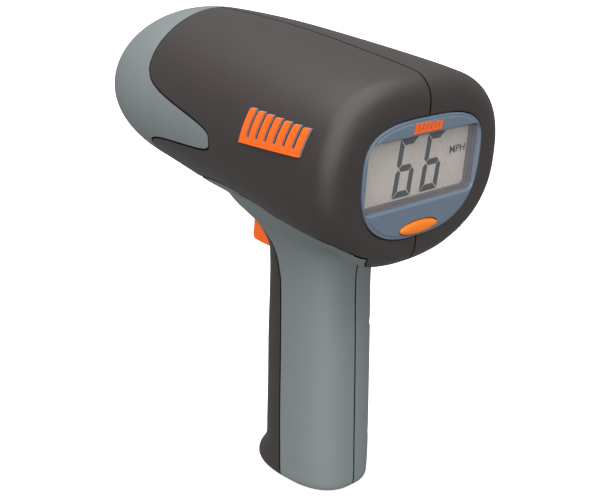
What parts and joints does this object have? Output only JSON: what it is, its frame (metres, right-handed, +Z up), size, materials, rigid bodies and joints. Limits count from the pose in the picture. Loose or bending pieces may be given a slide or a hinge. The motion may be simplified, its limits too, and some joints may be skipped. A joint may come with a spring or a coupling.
{
  "type": "speed radar gun",
  "caption": "Hand-held speed radar gun: pitched barrel with rounded nose and rear display, straight handle with trigger, grip panels and a sliding battery door.",
  "frame": {"origin": "under the middle of the overall length and width, on the surface that the handle stands on", "axes": "+X forward, the way the antenna looks; +Y to the left side; +Z up"},
  "size_m": [0.1689, 0.0988, 0.1986],
  "materials": {
    "dark_shell": "soft-touch, fine grain",
    "grey_shell": "satin, fine grain",
    "orange": "satin",
    "bezel": "satin",
    "window": "clear",
    "recess": "matte",
    "lcd": "satin",
    "seal": "matte",
    "radome": "satin",
    "board": "solder mask",
    "cast": "as cast",
    "tin": "tinned",
    "steel": "zinc plated",
    "black_part": "satin",
    "cream_part": "satin",
    "cell": "printed sleeve",
    "lead_positive": "satin",
    "lead_negative": "satin"
  },
  "bodies": {
    "root": {"left_housing": "dark_shell", "right_housing": "dark_shell", "nose_bezel": "grey_shell", "left_grip_panel": "grey_shell", "right_grip_panel": "grey_shell", "left_badge": "orange", "right_badge": "orange", "display_badge": "orange", "display_bezel": "bezel", "display_window": "window", "display_surround": "recess", "lcd_panel": "lcd", "radome_seal": "seal", "zebra_connector_upper": "seal", "zebra_connector_lower": "seal", "radome": "radome", "display_board": "board", "main_board": "board", "antenna_horn": "cast", "waveguide_flange": "cast", "transceiver_module": "cast", "shield_can": "tin", "contact_strip": "tin", "trigger_pin": "steel", "contact_spring": "steel", "display_board_screw_left": "steel", "display_board_screw_right": "steel", "horn_screw_upper_left": "steel", "horn_screw_upper_right": "steel", "horn_screw_lower_left": "steel", "horn_screw_lower_right": "steel", "main_board_screw_left": "steel", "main_board_screw_right": "steel", "housing_screw_grip_lower": "steel", "housing_screw_grip_upper": "steel", "housing_screw_neck_rear": "steel", "housing_screw_rear_top": "steel", "housing_screw_middle_top": "steel", "housing_screw_front_top": "steel", "mode_switch": "black_part", "trigger_switch": "black_part", "contact_carrier": "black_part", "display_ribbon": "cream_part", "cell_lower": "cell", "cell_upper": "cell", "battery_lead_positive": "lead_positive", "battery_lead_negative": "lead_negative"},
    "trigger": {"trigger": "orange", "trigger_spring": "steel"},
    "trigger_plunger": {"trigger_switch_plunger": "cream_part"},
    "mode_button": {"mode_button": "orange", "mode_switch_plunger": "cream_part"},
    "battery_door": {"battery_door": "dark_shell", "door_contact": "tin"}
  },
  "joints": [
    {"name": "trigger_pivot", "type": "hinge", "parent": "root", "child": "trigger", "pos_m": [0.0039, 0, 0.1185], "axis": [0, 1, 0], "range_deg": [0, 7], "stiffness_Nm_per_rad": 0.35, "springref_deg": -3.44},
    {"name": "trigger_plunger_slide", "type": "slide", "parent": "root", "child": "trigger_plunger", "axis": [-0.0958, 0, 0.9954], "range_m": [0, 0.0016]},
    {"name": "mode_button_press", "type": "slide", "parent": "root", "child": "mode_button", "axis": [0.9954, 0, 0.0958], "range_m": [0, 0.001], "stiffness_N_per_m": 800, "springref_m": -0.0004},
    {"name": "battery_door_slide", "type": "slide", "parent": "root", "child": "battery_door", "axis": [1, 0, 0], "range_m": [0, 0.045]}
  ],
  "couplings": [
    {"joint": "trigger_plunger_slide", "follows": "trigger_pivot", "m_per_rad": 0.0119}
  ]
}
